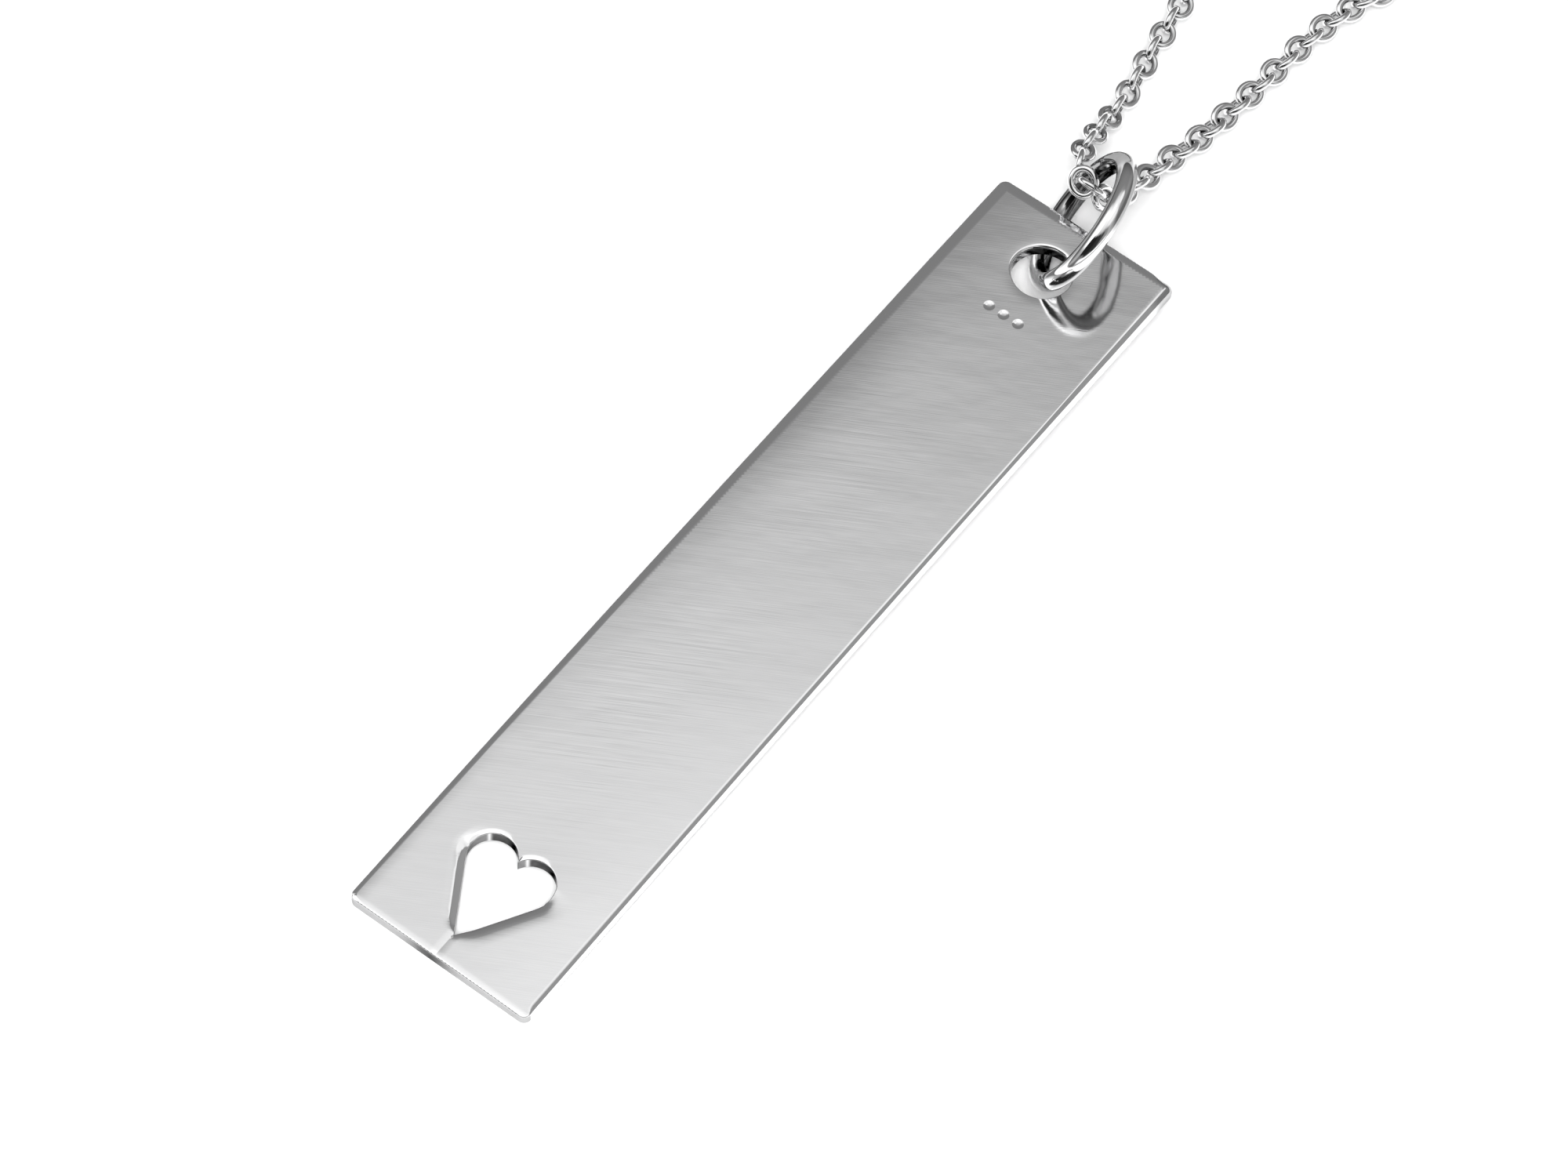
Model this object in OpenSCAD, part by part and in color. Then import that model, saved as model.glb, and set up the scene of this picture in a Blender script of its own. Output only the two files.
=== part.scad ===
// Bar pendant on a fine round-link chain, laid out on a flat surface.
// Origin: middle of the whole necklace, on the surface. +Y runs from the bar to the clasp, +Z is up.

/* [Bar] */
// Length of the bar, from its heart end to its hung end
bar_l = 50.3; // [49:0.1:50.5]
// Width of the bar
bar_w = 10.2; // [8:0.2:12]
// Thickness of the bar's sheet
bar_t = 0.75; // [0.6:0.05:0.8]
// Radius of the bar's four corners
corner_r = 0.4; // [0.2:0.1:0.8]
// Slope of the bar, whose hung end lies on the ring, in degrees
bar_slope = 1.5; // [1.5:0.05:1.7]

/* [Hole and heart] */
// Diameter of the round hole near the hung end
hole_d = 3; // [2.9:0.1:3.4]
// Distance from the hung end to the hole's centre
hole_inset = 3.4; // [3.3:0.05:3.5]
// Width of the heart-shaped cut-out
heart_w = 4.6; // [4.4:0.1:4.6]
// Radius of the heart's two lobes
heart_lobe_r = 1.2; // [1.15:0.05:1.3]
// Distance from the heart end to the centres of the lobes
heart_lobe_y = 5.55; // [5:0.05:6]
// Distance from the heart end to the heart's point
heart_tip_y = 1.4; // [1:0.1:2]

/* [Jump ring] */
// Diameter of the ring's wire
ring_wire_d = 1.02; // [0.9:0.02:1.02]
// Diameter of the ring, measured to the middle of its wire
ring_mid_d = 6.78; // [6.74:0.02:6.8]
// Lean of the ring's axis away from upright, in degrees
ring_lean = 60.5; // [60:0.5:61]
// Turn of the leaning ring about the upright, in degrees
ring_turn = 17.3; // [17:0.1:18]

/* [Chain] */
// Outer diameter of one link
link_d = 1.5; // [1.4:0.02:1.5]
// Diameter of a link's wire
link_wire_d = 0.2; // [0.18:0.01:0.22]
// Distance between the centres of neighbouring links
link_pitch = 0.95; // [0.9:0.01:0.95]
// Number of separate links on each side of the ring
links_per_side = 60; // [20:1:60]

/* [Clasp] */
// Diameter of the clasp's barrel
clasp_d = 2.2; // [1.8:0.1:2.2]
// Length of the clasp's barrel
clasp_l = 6.4; // [5:0.1:6.4]
// Outer diameter of the eye at each end of the barrel
eye_d = 1.9; // [1.6:0.1:1.9]
// Diameter of the wire of each eye
eye_wire_d = 0.44; // [0.3:0.02:0.44]

/* [Hidden] */

silver = [0.86, 0.86, 0.87];

// Extent of the whole necklace along Y
total_l = 220;

// Place of the ring's centre in the bar's own frame, whose origin is the middle
// of the front face's edge at the heart end
ring_at = [0.02, bar_l - 0.63, 1.426];
// Place of the hole's centre across the bar: a little left of the middle
hole_x = -0.25;
// The long edges lie this far to the right of where the heart's middle line puts them
edge_shift = 0.1;

// A small play that keeps neighbouring pieces apart
play = 0.1;

// Height of the chain's middle where it lies on the surface
rest_z = link_d / 2;

// Way that the flatter links face, halfway between up and the viewer's side
link_face = [0.3, -0.45, 0.85];

// Route of the chain's middle, chosen by hand: from the clasp down the left side,
// through the ring, and up the right side back to the clasp
clasp_y = total_l / 2 - clasp_d / 2;
eye_end = clasp_l / 2 + eye_d - eye_wire_d;
route_left = [
    [-eye_end - play, clasp_y, 1], [-8, clasp_y, 0.75], [-17, 108, 0.75], [-30, 105, 0.75],
    [-44.5, 99, 0.75], [-55, 88, 0.75], [-59.5, 73, 0.75], [-59, 58, 0.75],
    [-54, 43, 0.75], [-45, 27, 0.75], [-34, 12, 0.75], [-24.5, -2, 0.75],
    [-16, -15, 0.75], [-10, -26, 0.75], [-6.8, -35, 0.75], [-5.3, -42, 0.75],
    [-4.6, -46, 0.75], [-4.1, -48.8, 0.75], [-3.75, -50.5, 0.75], [-3.5, -52.2, 0.85],
    [-3.15, -54.3, 1.75], [-2.75, -56.2, 2.75], [-2.25, -57.5, 3.25]
];
route_ring = [[-1.75, -58.4, 3.3], [-0.8, -58.4, 3.35], [-0.2, -58.05, 2.6]];
route_right = [
    [-0.1, -57.3, 2.1], [0, -56.4, 1.7], [0.1, -54.6, 1.1], [0.25, -52.9, 0.8],
    [0.6, -51.1, 0.75], [1, -47.4, 0.75], [1.2, -44.5, 0.75], [1.5, -41.5, 0.75],
    [2.3, -38.5, 0.75], [4.8, -33, 0.75], [10, -24, 0.75], [17.5, -12.5, 0.75],
    [26, 0, 0.75], [35, 13, 0.75], [45, 27, 0.75], [54, 43, 0.75],
    [59, 58, 0.75], [59.5, 73, 0.75], [55, 88, 0.75], [44.5, 99, 0.75],
    [30, 105, 0.75], [17, 108, 0.75], [8, clasp_y, 0.75], [eye_end + play, clasp_y, 1]
];
route = concat(route_left, route_ring, route_right);

// Steps of the smooth curve between two points of the route
route_steps = 12;

// Point of the smooth curve between route points i and i + 1
function route_point(i) = route[max(0, min(len(route) - 1, i))];
function blend(a, b, c, d, u) =
    0.5 * (2 * b + (c - a) * u + (2 * a - 5 * b + 4 * c - d) * u * u + (3 * b - a - 3 * c + d) * u * u * u);
function curve_point(i, u) =
    blend(route_point(i - 1), route_point(i), route_point(i + 1), route_point(i + 2), u);
function on_surface(p) = [p.x, p.y, max(rest_z, p.z)];

curve = [
    for (i = [0:len(route) - 2], k = [0:route_steps - 1]) on_surface(curve_point(i, k / route_steps)),
    on_surface(route[len(route) - 1])
];
curve_n = len(curve);

// Length along the curve up to each of its points
curve_s = [
    for (i = 0, s = 0; i < curve_n; s = s + (i + 1 < curve_n ? norm(curve[i + 1] - curve[i]) : 0), i = i + 1) s
];
chain_l = curve_s[curve_n - 1];

// Place on the chain at a length s from its start
table_x = [for (i = [0:curve_n - 1]) [curve_s[i], curve[i].x]];
table_y = [for (i = [0:curve_n - 1]) [curve_s[i], curve[i].y]];
table_z = [for (i = [0:curve_n - 1]) [curve_s[i], curve[i].z]];
function chain_at(s) = [lookup(s, table_x), lookup(s, table_y), lookup(s, table_z)];

// Length at which the link at the ring's edge sits
ring_s = curve_s[len(route_left) * route_steps];

function unit(v) = v / norm(v);
function link_centre(i) = chain_at(ring_s + i * link_pitch);
function link_run(i) = unit(link_centre(i + 1) - link_centre(i - 1));
function flat_axis(run) = unit(link_face - (link_face * run) * run);
function link_axis(i) = i % 2 == 0 ? flat_axis(link_run(i)) : cross(link_run(i), flat_axis(link_run(i)));

// The rest of the chain is a plain tube whose flats lie as wide apart as a link
tube_sides = 8;
tube_steps = 39;
tube_r = link_d / 2 / cos(180 / tube_sides);
tube_gap = links_per_side * link_pitch + link_d / 2 + play;

// Corners of the tube's cross-section at a length s along the chain
function tube_ring(s) =
    let (
        run = unit(chain_at(s + 0.5) - chain_at(s - 0.5)),
        side = unit(cross([0, 0, 1], run)),
        up = cross(run, side)
    )
    [
        for (k = [0:tube_sides - 1])
            let (a = (k + 0.5) * 360 / tube_sides)
                chain_at(s) + tube_r * (cos(a) * side + sin(a) * up)
    ];

// Turns a shape's own Z axis to the direction v
module aim(v) {
    rotate([0, acos(v.z / norm(v)), atan2(v.y, v.x)]) children();
}

// A closed ring of round wire around Z
module wire_ring(mid_d, wire_d) {
    rotate_extrude($fn = 64)
        translate([mid_d / 2, 0])
            circle(d = wire_d, $fn = 32);
}

// Moves a shape from the bar's own frame to where the bar lies
module on_bar() {
    translate([0, -total_l / 2, bar_t * cos(bar_slope)])
        rotate([bar_slope, 0, 0])
            children();
}

module bar_outline() {
    translate([edge_shift, 0]) {
        translate([-bar_w / 2 + corner_r, 0]) square([bar_w - 2 * corner_r, bar_l]);
        translate([-bar_w / 2, corner_r]) square([bar_w, bar_l - 2 * corner_r]);
        for (x = [-1, 1], y = [corner_r, bar_l - corner_r])
            translate([x * (bar_w / 2 - corner_r), y]) circle(r = corner_r, $fn = 32);
    }
}

// Two round lobes and the straight sides that run from them to the point
module heart_outline() {
    lobe = [heart_w / 2 - heart_lobe_r, heart_lobe_y];
    to_lobe = lobe - [0, heart_tip_y];
    side_l = sqrt(to_lobe * to_lobe - heart_lobe_r * heart_lobe_r);
    side_angle = atan2(to_lobe.y, to_lobe.x) - asin(heart_lobe_r / norm(to_lobe));
    side_end = [0, heart_tip_y] + side_l * [cos(side_angle), sin(side_angle)];
    for (x = [-1, 1])
        translate([x * lobe.x, lobe.y]) circle(r = heart_lobe_r, $fn = 64);
    polygon([
        [0, heart_tip_y], side_end, lobe, [0, heart_lobe_y],
        [-lobe.x, lobe.y], [-side_end.x, side_end.y]
    ]);
}

module bar() {
    color(silver)
        on_bar()
            translate([0, 0, -bar_t])
                difference() {
                    linear_extrude(bar_t) bar_outline();
                    translate([0, 0, -1]) linear_extrude(bar_t + 2) heart_outline();
                    translate([hole_x, bar_l - hole_inset, -1])
                        cylinder(d = hole_d, h = bar_t + 2, $fn = 96);
                }
}

module jump_ring() {
    color(silver)
        on_bar()
            translate(ring_at)
                rotate([0, 180 - ring_lean, ring_turn])
                    wire_ring(ring_mid_d, ring_wire_d);
}

module chain_front() {
    color(silver)
        for (i = [-links_per_side:links_per_side])
            translate(link_centre(i))
                aim(link_axis(i))
                    wire_ring(link_d - link_wire_d, link_wire_d);
}

// One side's length of the rest of the chain
module tube(s_from, s_to) {
    points = [
        for (j = [0:tube_steps])
            each tube_ring(s_from + (s_to - s_from) * j / tube_steps)
    ];
    walls = [
        for (j = [0:tube_steps - 1], k = [0:tube_sides - 1])
            let (a = j * tube_sides + k, b = j * tube_sides + (k + 1) % tube_sides)
                [a, b, b + tube_sides, a + tube_sides]
    ];
    first = [for (k = [0:tube_sides - 1]) tube_sides - 1 - k];
    last = [for (k = [0:tube_sides - 1]) tube_steps * tube_sides + k];
    polyhedron(points, concat(walls, [first], [last]));
}

module chain_back() {
    color(silver) {
        tube(0, ring_s - tube_gap);
        tube(ring_s + tube_gap, chain_l);
    }
}

module clasp() {
    color(silver)
        translate([0, clasp_y, clasp_d / 2]) {
            rotate([0, 90, 0])
                cylinder(d = clasp_d, h = clasp_l - clasp_d, center = true, $fn = 48);
            for (x = [-1, 1]) {
                translate([x * (clasp_l - clasp_d) / 2, 0, 0])
                    sphere(d = clasp_d, $fn = 48);
                translate([x * (clasp_l / 2 + eye_d / 2 - eye_wire_d), 0, 0])
                    wire_ring(eye_d - eye_wire_d, eye_wire_d);
            }
        }
}

bar();
jump_ring();
chain_front();
chain_back();
clasp();
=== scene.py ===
"""Looks of the bar pendant necklace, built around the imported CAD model."""
import math

import bpy
import numpy as np
from mathutils import Matrix, Vector
from mathutils.geometry import delaunay_2d_cdt


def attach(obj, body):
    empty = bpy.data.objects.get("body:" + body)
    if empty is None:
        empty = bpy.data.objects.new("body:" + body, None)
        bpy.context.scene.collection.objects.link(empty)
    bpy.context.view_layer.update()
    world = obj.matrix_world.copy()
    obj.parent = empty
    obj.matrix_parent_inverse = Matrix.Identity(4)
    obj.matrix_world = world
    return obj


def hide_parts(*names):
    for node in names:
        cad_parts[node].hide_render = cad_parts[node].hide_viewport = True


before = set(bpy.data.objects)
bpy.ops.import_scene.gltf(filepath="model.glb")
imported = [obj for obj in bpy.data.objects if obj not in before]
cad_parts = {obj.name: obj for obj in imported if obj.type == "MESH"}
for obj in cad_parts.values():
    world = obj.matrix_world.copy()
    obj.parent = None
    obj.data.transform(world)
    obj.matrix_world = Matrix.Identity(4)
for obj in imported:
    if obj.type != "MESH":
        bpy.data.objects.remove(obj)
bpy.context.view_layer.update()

# Lengths are in millimetres until a mesh is made. The lights, the floor, the camera's clipping
# range and the bumps are in metres.
MM = 0.001

# Bar, in its own frame: x across, y from the heart end to the hung end, z out of the front face
BAR_L = 50.3
BAR_W = 10.2
EDGE_SHIFT = 0.1
LEFT_X = EDGE_SHIFT - BAR_W / 2
RIGHT_X = EDGE_SHIFT + BAR_W / 2
BAR_T = 0.75
BAR_SLOPE = math.radians(1.5)
BAR_BOW = 0.30
FRONT_EDGE_Y = -110.0
CORNER_R = 0.4
HOLE = (-0.25, 46.9)
HOLE_R = 1.5
HEART_TIP_Y = 1.4
HEART_LOBE_Y = 5.55
HEART_LOBE_R = 1.2
HEART_W = 4.6

# Heart's right half: a straight side from the tip, tangent to the lobe's circle
HEART_TIP = np.array([0, HEART_TIP_Y])
HEART_LOBE = np.array([HEART_W / 2 - HEART_LOBE_R, HEART_LOBE_Y])
TIP_TO_LOBE = HEART_LOBE - HEART_TIP
LOBE_REACH = np.hypot(*TIP_TO_LOBE)
SIDE_ANGLE = math.atan2(TIP_TO_LOBE[1], TIP_TO_LOBE[0]) - math.asin(HEART_LOBE_R / LOBE_REACH)
SIDE_ALONG = np.array([math.cos(SIDE_ANGLE), math.sin(SIDE_ANGLE)])
SIDE_OUT = np.array([SIDE_ALONG[1], -SIDE_ALONG[0]])
SIDE_L = math.sqrt(LOBE_REACH ** 2 - HEART_LOBE_R ** 2)

# Jump ring, in the bar's frame
RING_MID_R = 3.39
RING_WIRE_R = 0.51
RING_LEAN = math.radians(60.5)
RING_TURN = math.radians(17.3)
RING_AT = np.array([0.02, 49.67, 1.426])
RING_MESH = (144, 48)

# Chain
LINK_HALF_L = 0.665
LINK_HALF_W = 0.52
LINK_WIRE_R = 0.178
PITCH = 0.95
# The left strand is drawn tight, so that this many of its links stand further apart
TIGHT_LINKS = 17
TIGHT_EXTRA = 0.07
REST_Z = 0.75
CLASP_Y = 108.9
ROUTE_END_X = 4.76
ROUTE_STEPS = 12
ROUTE_LEFT = [
    (-ROUTE_END_X, CLASP_Y, 1), (-8, CLASP_Y, 0.75), (-17, 108, 0.75), (-30, 105, 0.75),
    (-44.5, 99, 0.75), (-55, 88, 0.75), (-59.5, 73, 0.75), (-59, 58, 0.75),
    (-54, 43, 0.75), (-45, 27, 0.75), (-34, 12, 0.75), (-24.5, -2, 0.75),
    (-16, -15, 0.75), (-10, -26, 0.75), (-6.8, -35, 0.75), (-5.3, -42, 0.75),
    (-4.6, -46, 0.75), (-4.1, -48.8, 0.75), (-3.75, -50.5, 0.75), (-3.5, -52.2, 0.85),
    (-3.15, -54.3, 1.75), (-2.75, -56.2, 2.75), (-2.25, -57.5, 3.25),
]
ROUTE_RING = [(-1.75, -58.4, 3.3), (-0.8, -58.4, 3.35), (-0.2, -58.05, 2.6)]
ROUTE_RIGHT = [
    (-0.1, -57.3, 2.1), (0, -56.4, 1.7), (0.1, -54.6, 1.1), (0.25, -52.9, 0.8),
    (0.6, -51.1, 0.75), (1, -47.4, 0.75), (1.2, -44.5, 0.75), (1.5, -41.5, 0.75),
    (2.3, -38.5, 0.75), (4.8, -33, 0.75), (10, -24, 0.75), (17.5, -12.5, 0.75),
    (26, 0, 0.75), (35, 13, 0.75), (45, 27, 0.75), (54, 43, 0.75),
    (59, 58, 0.75), (59.5, 73, 0.75), (55, 88, 0.75), (44.5, 99, 0.75),
    (30, 105, 0.75), (17, 108, 0.75), (8, CLASP_Y, 0.75), (ROUTE_END_X, CLASP_Y, 1),
]

# Camera
CAMERA_AT = (93.55, -233.83, 278.46)
CAMERA_TARGET = (0.20, -84.07, 0.0)
CAMERA_ROLL = math.radians(6.03)
CAMERA_LENS = 162.0
CAMERA_SENSOR = 36.0
CAMERA_CLIP = (0.01, 10.0)

# Level of the studio's walls and roof at each height, the sine of the elevation
STUDIO = [
    (0.0, 0.75), (0.02, 0.14), (0.26, 0.18), (0.50, 0.21), (0.70, 0.22), (0.80, 0.28),
    (0.822, 0.39), (0.839, 0.49), (0.869, 0.62), (0.885, 0.70), (0.91, 0.77), (0.97, 1.0),
    (1.0, 1.4),
]
# Wall to the right of the camera, and an upright strip on it
EAST_WALL_LEVEL = 0.31
EAST_STRIP_LEVEL = 0.55
# Round patches of the studio: azimuth, elevation, inner and outer radius in degrees, level
SOFTBOXES = [
    (-125, 46, 13, 34, 1.3),
    (89, 61, 6, 20, 0.95),
    (14, 61, 7, 14, 0.95),
    (-138, 14, 6, 16, 0.42),
]
# The dark room behind the camera, of patches of the same kind
DARK_ROOM = [
    (132, 39, 8, 14, 0.06),
    (140, 28, 9, 15, 0.04),
    (164, 26, 9, 15, 0.03),
    (158, 38, 14, 19, 0.03),
    (180, 38, 14, 18, 0.015),
    (200, 36, 13, 18, 0.015),
]
# Low band under the dark room: grey at the bottom, bright above
LOW_BAND_LEVEL = 0.45
LOW_BAND_GLOW = 1.1

# Name, place, target, side and power of the lights
LIGHTS = [
    ("floor_softbox", (0.1, 0.1, 0.9), (0, -0.05, 0), 0.9, 2.35),
    ("front_softbox", (0.25, -0.5, 0.7), (0, -0.085, 0), 0.4, 7.0),
]
# Half the floor's side, and its place just under the necklace
FLOOR_SIZE = 6.0
FLOOR_Z = -0.00002
PAPER = (0.9, 0.9, 0.9, 1)
PAPER_ROUGHNESS = 0.9
PAPER_SHINE = 0.1


def aimed(at, target):
    """Matrix of a camera or light at one place that looks at another."""
    at, target = Vector(at), Vector(target)
    aim = (target - at).to_track_quat("-Z", "Y").to_matrix().to_4x4()
    return Matrix.Translation(at) @ aim


def add_camera():
    data = bpy.data.cameras.new("camera")
    data.lens = CAMERA_LENS
    data.sensor_width = CAMERA_SENSOR
    data.clip_start, data.clip_end = CAMERA_CLIP
    camera = bpy.data.objects.new("camera", data)
    bpy.context.scene.collection.objects.link(camera)
    placed = aimed(Vector(CAMERA_AT) * MM, Vector(CAMERA_TARGET) * MM)
    camera.matrix_world = placed @ Matrix.Rotation(CAMERA_ROLL, 4, "Z")
    bpy.context.scene.camera = camera


def add_light(name, at, target, size, power):
    """A square light that the silver doesn't mirror."""
    data = bpy.data.lights.new(name, "AREA")
    data.shape = "RECTANGLE"
    data.size = data.size_y = size
    data.energy = power
    light = bpy.data.objects.new(name, data)
    bpy.context.scene.collection.objects.link(light)
    light.matrix_world = aimed(at, target)
    light.visible_glossy = False


def heading(azimuth, elevation):
    """Unit vector from degrees round from +Y towards +X, and degrees above the floor."""
    a, e = math.radians(azimuth), math.radians(elevation)
    return (math.sin(a) * math.cos(e), math.cos(a) * math.cos(e), math.sin(e))


def add_world():
    """The studio that the silver mirrors, painted patch over patch."""
    world = bpy.data.worlds.new("studio")
    bpy.context.scene.world = world
    world.use_nodes = True
    nodes, links = world.node_tree.nodes, world.node_tree.links
    nodes.clear()
    out = nodes.new("ShaderNodeOutputWorld")
    back = nodes.new("ShaderNodeBackground")
    links.new(back.outputs["Background"], out.inputs["Surface"])
    coords = nodes.new("ShaderNodeTexCoord")
    split = nodes.new("ShaderNodeSeparateXYZ")
    links.new(coords.outputs["Generated"], split.inputs["Vector"])
    height = split.outputs["Z"]

    def towards(azimuth, elevation=0):
        """Cosine of the angle from this heading."""
        node = nodes.new("ShaderNodeVectorMath")
        node.operation = "DOT_PRODUCT"
        node.inputs[1].default_value = heading(azimuth, elevation)
        links.new(coords.outputs["Generated"], node.inputs[0])
        return node.outputs["Value"]

    def fade(value, low, high):
        """Smooth rise from 0 at low to 1 at high, or a fall where low is the larger."""
        node = nodes.new("ShaderNodeMapRange")
        node.interpolation_type = "SMOOTHSTEP"
        node.inputs["From Min"].default_value = min(low, high)
        node.inputs["From Max"].default_value = max(low, high)
        node.inputs["To Min"].default_value = 0.0 if low < high else 1.0
        node.inputs["To Max"].default_value = 1.0 if low < high else 0.0
        links.new(value, node.inputs["Value"])
        return node.outputs["Result"]

    def times(a, b):
        node = nodes.new("ShaderNodeMath")
        node.operation = "MULTIPLY"
        links.new(a, node.inputs[0])
        links.new(b, node.inputs[1])
        return node.outputs["Value"]

    def size_of(value):
        node = nodes.new("ShaderNodeMath")
        node.operation = "ABSOLUTE"
        links.new(value, node.inputs[0])
        return node.outputs["Value"]

    def paint(under, level, factor):
        """The tone so far, with this level over it where the factor is 1."""
        node = nodes.new("ShaderNodeMix")
        node.data_type = "FLOAT"
        links.new(factor, node.inputs[0])
        links.new(under, node.inputs[2])
        node.inputs[3].default_value = level
        return node.outputs[0]

    ramp = nodes.new("ShaderNodeValToRGB")
    links.new(height, ramp.inputs["Fac"])
    ramp.color_ramp.interpolation = "LINEAR"
    while len(ramp.color_ramp.elements) < len(STUDIO):
        ramp.color_ramp.elements.new(0.5)
    for element, (at, level) in zip(ramp.color_ramp.elements, STUDIO):
        element.position = at
        element.color = (level, level, level, 1)
    tone = ramp.outputs["Color"]

    # The fades go by the cosine from a heading, or by the height, the sine of the elevation
    east = times(fade(towards(62), 0.3, 0.75), fade(height, 0.86, 0.74))
    tone = paint(tone, EAST_WALL_LEVEL, east)
    strip = times(fade(size_of(towards(-2)), 0.25, 0.08), fade(towards(88), 0.1, 0.35))
    tone = paint(tone, EAST_STRIP_LEVEL, times(strip, fade(height, 0.88, 0.8)))
    for azimuth, elevation, inner, outer, level in SOFTBOXES + DARK_ROOM:
        rim, middle = math.cos(math.radians(outer)), math.cos(math.radians(inner))
        tone = paint(tone, level, fade(towards(azimuth, elevation), rim, middle))
    low = times(fade(towards(142), 0.62, 0.76), fade(height, 0.31, 0.22))
    tone = paint(tone, LOW_BAND_LEVEL, low)
    tone = paint(tone, LOW_BAND_GLOW, times(low, fade(height, 0.08, 0.15)))
    links.new(tone, back.inputs["Color"])
    back.inputs["Strength"].default_value = 1.0


def add_floor():
    mesh = bpy.data.meshes.new("floor")
    corners = [(-1, -1), (1, -1), (1, 1), (-1, 1)]
    mesh.from_pydata([(FLOOR_SIZE * x, FLOOR_SIZE * y, 0) for x, y in corners], [], [(0, 1, 2, 3)])
    floor = bpy.data.objects.new("floor", mesh)
    bpy.context.scene.collection.objects.link(floor)
    material = bpy.data.materials.new("floor_paper")
    material.use_nodes = True
    shader = material.node_tree.nodes["Principled BSDF"]
    shader.inputs["Base Color"].default_value = PAPER
    shader.inputs["Roughness"].default_value = PAPER_ROUGHNESS
    shader.inputs["Specular IOR Level"].default_value = PAPER_SHINE
    mesh.materials.append(material)
    floor.location.z = FLOOR_Z


# Soft steps and bells, for shapes and for the painted shade alike


def smooth_step(t):
    t = np.clip(t, 0, 1)
    return t * t * (3 - 2 * t)


def rise(value, start, length):
    """Soft step from 0 at start up to 1 a length further on."""
    return smooth_step((value - start) / length)


def fall(value, end, length):
    """Soft step from 1, a length before the end, down to 0 at the end."""
    return smooth_step((end - value) / length)


def window(value, low, high, soft):
    """1 between low and high and 0 outside, with soft ends."""
    return smooth_step((value - low) / soft + 0.5) * smooth_step((high - value) / soft + 0.5)


def bell(value, middle, width):
    return np.exp(-(((value - middle) / width) ** 2))


def unit(v):
    return v / np.linalg.norm(v, axis=-1, keepdims=True)


# Pieces


def tilted(v):
    """Vectors of the bar's own frame, turned to the row frame."""
    c, s = math.cos(BAR_SLOPE), math.sin(BAR_SLOPE)
    return np.stack([v[:, 0], v[:, 1] * c - v[:, 2] * s, v[:, 1] * s + v[:, 2] * c], -1)


def bar_to_row(points):
    """Points in the bar's own frame, in millimetres, to the row frame in metres."""
    return (tilted(points) + [0, FRONT_EDGE_Y, BAR_T * math.cos(BAR_SLOPE)]) * MM


def add_piece(name, verts, faces, replaced):
    """A smooth mesh from points in metres that stands for CAD nodes."""
    mesh = bpy.data.meshes.new(name)
    mesh.from_pydata([tuple(v) for v in verts], [], faces)
    mesh.validate()
    mesh.shade_smooth()
    piece = bpy.data.objects.new(name, mesh)
    bpy.context.scene.collection.objects.link(piece)
    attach(piece, "root")
    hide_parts(*replaced)
    return piece


def set_values(piece, name, values):
    """One number for each point of the mesh, for the materials to read."""
    piece.data.attributes.new(name, "FLOAT", "POINT").data.foreach_set("value", values)


def full_turn(count):
    """Evenly spaced angles round one turn."""
    return np.arange(count) * 2 * math.pi / count


def loop_faces(first, around, across):
    """Faces of one closed loop of wire, whose points start with number first."""
    faces = []
    for i in range(around):
        for j in range(across):
            i2, j2 = (i + 1) % around, (j + 1) % across
            here, ahead = first + i * across, first + i2 * across
            faces.append((here + j, ahead + j, ahead + j2, here + j2))
    return faces


# Distances from the bar's outlines


def edge_distance(x, y):
    """Distance inwards from the bar's outline."""
    qx = np.abs(x - EDGE_SHIFT) - (BAR_W / 2 - CORNER_R)
    qy = np.abs(y - BAR_L / 2) - (BAR_L / 2 - CORNER_R)
    outside = np.hypot(np.maximum(qx, 0), np.maximum(qy, 0))
    return CORNER_R - outside - np.minimum(np.maximum(qx, qy), 0)


def hole_distance(x, y):
    """Distance outwards from the hole's rim."""
    return np.hypot(x - HOLE[0], y - HOLE[1]) - HOLE_R


def heart_distance(x, y):
    """Distance outwards from the heart's outline: negative inside the cut-out."""
    px, py = np.abs(x), y - HEART_TIP_Y
    along = px * SIDE_ALONG[0] + py * SIDE_ALONG[1]
    across = px * SIDE_OUT[0] + py * SIDE_OUT[1]
    circle = np.hypot(px - HEART_LOBE[0], y - HEART_LOBE[1]) - HEART_LOBE_R
    line = np.where(along < 0, np.hypot(px, py), across)
    inside_notch = (y > HEART_LOBE_Y) & (px < HEART_LOBE[0])
    return np.where(inside_notch | (along >= SIDE_L), circle, line)


def lobe_turn(x, y):
    """Angle round the nearer lobe of the heart, in degrees from +x, from -90 to 270."""
    side = np.where(x > 0, 1, -1)
    turn = np.degrees(np.arctan2(y - HEART_LOBE_Y, x - side * HEART_LOBE[0]))
    return np.where(turn < -90, turn + 360, turn)


def hole_turn(x, y):
    """Angle round the hole, in radians from +x."""
    return np.arctan2(y - HOLE[1], x - HOLE[0])


# Rims and slopes of the bar

# Radii of the front's rims: sharp ones, what is added to the edge's towards the right and at the
# right side, the hole's and what is added round this turn of it, and the heart's right side's
SHARP_R = 0.03
ACROSS_EDGE_R = 0.06
RIGHT_EDGE_R = 0.24
HOLE_RIM_R = 0.04
HOLE_WORN_R = 0.14
HOLE_WORN_TURN = math.radians(131)
HEART_RIM_R = 0.09
# How these come, as start and length: along x and y, and along the cosine from that turn
RIGHT_EDGE_IN = (3.7, 1)
SOFT_EDGE_IN = (0.1, 0.7)
HOLE_WORN_IN = (-0.3, 0.8)
# The heart's rim is sharp above this y
HEART_SHARP_Y = HEART_LOBE_Y - 0.4
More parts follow.
